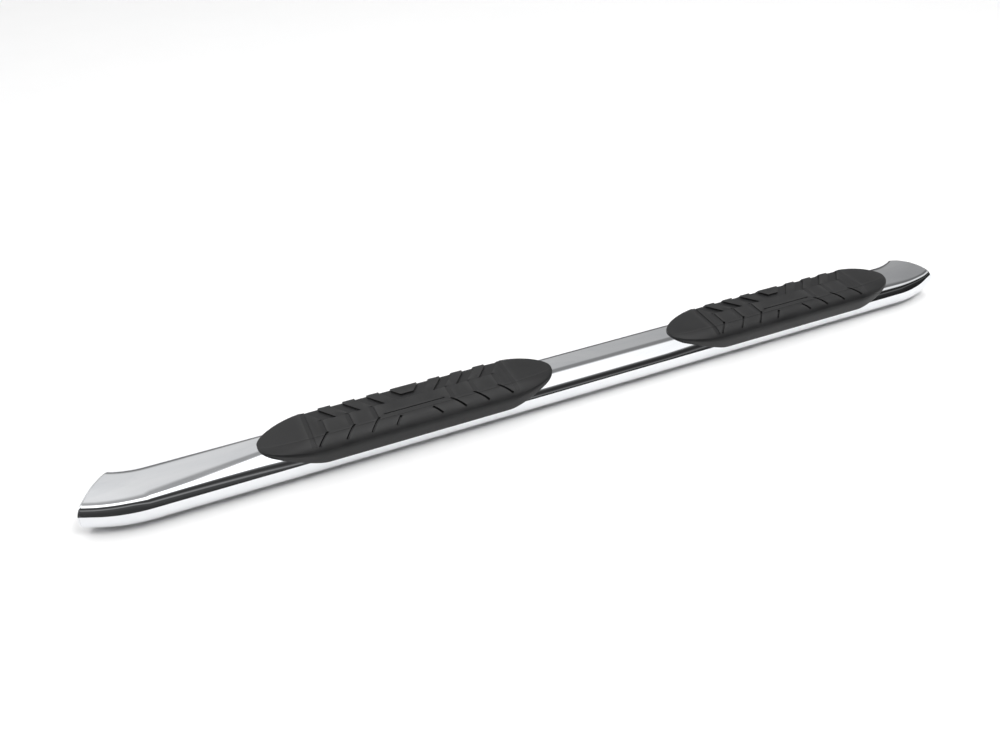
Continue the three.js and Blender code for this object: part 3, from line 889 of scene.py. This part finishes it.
# %% Zinc-plated steel
BLOOM_SPACING = 2 * MM
zinc, tree, output, place = new_material("steel_zinc_plated")
bloom = add_node(tree, "ShaderNodeTexVoronoi", {"Scale": 1 / BLOOM_SPACING}, {"Vector": place})
grey = add_node(tree, "ShaderNodeValToRGB", {}, {"Fac": bloom.outputs["Distance"]})
grey.color_ramp.elements[0].color = linear("#b9bdc3")
grey.color_ramp.elements[1].color = linear("#a4a8b0")
dull = add_node(
    tree,
    "ShaderNodeMapRange",
    {"From Min": 0.0, "From Max": 0.8, "To Min": 0.24, "To Max": 0.42},
    {"Value": bloom.outputs["Distance"]},
)
pits = add_node(
    tree,
    "ShaderNodeBump",
    {"Strength": 0.15, "Distance": 0.04 * MM},
    {"Height": bloom.outputs["Distance"]},
)
shader = add_node(
    tree,
    "ShaderNodeBsdfPrincipled",
    {"Metallic": 1.0},
    {"Base Color": grey.outputs["Color"], "Roughness": dull.outputs[0], "Normal": pits.outputs[0]},
)
tree.links.new(shader.outputs[0], output.inputs["Surface"])
print(zinc.name, len(tree.nodes), "nodes")

# %% Give each piece its finish
def finish_with(piece, material):
    """New pieces take the material on their mesh, and the model's own nodes on their object."""
    if not piece.material_slots:
        piece.data.materials.append(material)
    for place_for in piece.material_slots:
        place_for.link = "OBJECT"
        place_for.material = material


for piece in (tube, plate, far_plate):
    finish_with(piece, chrome)
for piece in (left_pad, right_pad):
    finish_with(piece, plastic)
for name in clip_nodes:
    finish_with(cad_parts[name], nylon)
for name in insert_nodes:
    finish_with(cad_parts[name], zinc)
print("finished", 5 + len(clip_nodes) + len(insert_nodes), "pieces")

# %% [markdown]
# ## Floor and studio
#
# The floor is a plain pale sheet. Chrome shows its surroundings and little else, so the studio is
# drawn as bands round the bar: a dark room at the horizon, a white softbox overhead, a thin dark
# gap, then a grey ceiling that falls off towards the right. The softbox narrows towards
# both ends. A wide lamp above and a smaller one in front, which the chrome doesn't show, lift
# the floor and the pads.

# %% Floor
FLOOR_SIZE = 40
FLOOR_GAP = 0.2 * MM
bpy.ops.object.select_all(action="DESELECT")
bpy.ops.mesh.primitive_plane_add(size=FLOOR_SIZE, location=(0, 0, -FLOOR_GAP))
floor = bpy.context.object
floor.name = "floor"
place_in_mesh(floor)
paper, tree, output, place = new_material("paper_sweep_matt")
fibre = add_node(tree, "ShaderNodeTexNoise", {"Scale": 4.0, "Detail": 3.0}, {"Vector": place})
sheet_white = add_node(tree, "ShaderNodeValToRGB", {}, {"Fac": fibre.outputs["Fac"]})
sheet_white.color_ramp.elements[0].color = linear("#f4f4f4")
sheet_white.color_ramp.elements[1].color = linear("#f6f6f6")
shader = add_node(
    tree,
    "ShaderNodeBsdfPrincipled",
    {"Roughness": 0.9, "Specular IOR Level": 0.0},
    {"Base Color": sheet_white.outputs["Color"]},
)
tree.links.new(shader.outputs[0], output.inputs["Surface"])
finish_with(floor, paper)

# %% [markdown]
# A pale dome stands behind everything, so that a low view has no black room in it. Only the
# camera sees it: the chrome goes on reflecting the studio bands.

# %% Backdrop dome
DOME_RADIUS = 11
bpy.ops.object.select_all(action="DESELECT")
bpy.ops.mesh.primitive_uv_sphere_add(segments=64, ring_count=32, radius=DOME_RADIUS)
dome = bpy.context.object
dome.name = "backdrop_dome"
place_in_mesh(dome)
bpy.ops.object.shade_smooth()
cloth, tree, output, place = new_material("muslin_backdrop_lit")
fold = add_node(tree, "ShaderNodeTexNoise", {"Scale": 0.2, "Detail": 2.0}, {"Vector": place})
pale = add_node(tree, "ShaderNodeValToRGB", {}, {"Fac": fold.outputs["Fac"]})
pale.color_ramp.elements[0].color = linear("#f3f3f3")
pale.color_ramp.elements[1].color = linear("#f7f7f7")
glow = add_node(tree, "ShaderNodeEmission", {"Strength": 1.0}, {"Color": pale.outputs["Color"]})
tree.links.new(glow.outputs[0], output.inputs["Surface"])
finish_with(dome, cloth)
dome.visible_diffuse = False
dome.visible_glossy = False
dome.visible_transmission = False
dome.visible_shadow = False

# %% Studio bands
# Angles in degrees from the horizon in front, up and over to the horizon behind, with brightness.
BANDS = [
    (0, 0.03), (5, 0.05), (9, 0.05), (13, 0.2), (17, 0.2), (21, 0.06), (32, 0.03), (43, 0.05),
    (51, 0.13), (57, 0.4), (61, 1.5), (116, 1.5), (120, 0.3), (127, 0.3), (131, 0.6), (170, 0.6),
    (174, 0.2), (180, 0.1),
]
SOFTBOX_TOP = 118
SOFTBOX_END_TOP = 88
SOFTBOX_MIDDLE = 0.3
world = bpy.data.worlds.new("studio_bands")
world.use_nodes = True
bpy.context.scene.world = world
tree = world.node_tree
tree.nodes.clear()
heading = add_node(tree, "ShaderNodeTexCoord").outputs["Generated"]
parts = add_node(tree, "ShaderNodeSeparateXYZ", {}, {0: heading})
forward = add_node(
    tree,
    "ShaderNodeMath",
    {"operation": "MULTIPLY", 1: -1.0},
    {0: parts.outputs["Y"]},
)
turn = add_node(
    tree,
    "ShaderNodeMath",
    {"operation": "ARCTAN2"},
    {0: parts.outputs["Z"], 1: forward.outputs[0]},
)
off_middle = add_node(
    tree,
    "ShaderNodeMath",
    {"operation": "SUBTRACT", 1: SOFTBOX_MIDDLE},
    {0: parts.outputs["X"]},
)
aside = add_node(tree, "ShaderNodeMath", {"operation": "ABSOLUTE"}, {0: off_middle.outputs[0]})
box_top = add_node(
    tree,
    "ShaderNodeMapRange",
    {
        "From Min": 0.25,
        "From Max": 0.4,
        "To Min": math.radians(SOFTBOX_TOP),
        "To Max": math.radians(SOFTBOX_END_TOP),
    },
    {"Value": aside.outputs[0]},
)
squeeze = add_node(
    tree,
    "ShaderNodeMapRange",
    {"From Min": 0.2, "From Max": 0.55, "To Min": 1.0, "To Max": 4.5},
    {"Value": aside.outputs[0]},
)
rise = add_node(
    tree,
    "ShaderNodeMath",
    {"operation": "DIVIDE"},
    {0: turn.outputs[0], 1: box_top.outputs[0]},
)
bent = add_node(
    tree,
    "ShaderNodeMath",
    {"operation": "POWER"},
    {0: rise.outputs[0], 1: squeeze.outputs[0]},
)
below = add_node(
    tree,
    "ShaderNodeMath",
    {"operation": "MULTIPLY", 1: SOFTBOX_TOP / 180},
    {0: bent.outputs[0]},
)
above = add_node(
    tree,
    "ShaderNodeMapRange",
    {"From Max": math.pi, "To Min": SOFTBOX_TOP / 180, "To Max": 1.0, "clamp": False},
    {"Value": turn.outputs[0], "From Min": box_top.outputs[0]},
)
lower = add_node(
    tree,
    "ShaderNodeMath",
    {"operation": "MINIMUM"},
    {0: above.outputs[0], 1: below.outputs[0]},
)
bands = add_node(tree, "ShaderNodeValToRGB", {}, {"Fac": lower.outputs[0]})
ramp = bands.color_ramp
while len(ramp.elements) < len(BANDS):
    ramp.elements.new(0.5)
for stop, (angle, _) in zip(ramp.elements, BANDS):
    stop.position = angle / 180
for stop, (_, level) in zip(ramp.elements, BANDS):
    stop.color = (level, level, level, 1)
fall = add_node(
    tree,
    "ShaderNodeMapRange",
    {"From Min": -0.2, "From Max": 0.75, "To Min": 1.5, "To Max": 0.6},
    {"Value": parts.outputs["X"]},
)
glow = add_node(
    tree,
    "ShaderNodeBackground",
    {},
    {"Color": bands.outputs["Color"], "Strength": fall.outputs[0]},
)
add_node(tree, "ShaderNodeOutputWorld", {}, {"Surface": glow.outputs[0]})
print("studio of", len(BANDS), "bands")

# %% Lamps and view
def soft_lamp(name, place, width, depth, watts):
    """A rectangular lamp that points at the middle of the board and stays out of the chrome."""
    lamp_data = bpy.data.lights.new(name, "AREA")
    lamp_data.shape = "RECTANGLE"
    lamp_data.size = width
    lamp_data.size_y = depth
    lamp_data.energy = watts
    lamp = bpy.data.objects.new(name, lamp_data)
    lamp.location = place
    lamp.rotation_euler = (-Vector(place)).to_track_quat("-Z", "Y").to_euler()
    lamp.visible_glossy = False
    bpy.context.scene.collection.objects.link(lamp)
    print(name, watts, "W")


soft_lamp("overhead_lamp", (0, 0, 6), 14, 10, 230)
soft_lamp("front_lamp", (1.2, -2.2, 4.8), 2, 1.4, 110)
bpy.context.scene.view_settings.view_transform = "Standard"

# %% [markdown]
# ## Tie the pieces to the model
#
# Nothing moves on a running board, so every piece rides on its one body.

# %% Ride and replace
for piece, node, finish in (
    (tube, "oval_tube", "chrome_tube"),
    (plate, "end_plate_right", "chrome_tube"),
    (far_plate, "end_plate_left", "chrome_tube"),
    (left_pad, "step_pad_left", "step_pad"),
    (right_pad, "step_pad_right", "step_pad"),
):
    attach(piece, "root")
    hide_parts(node)
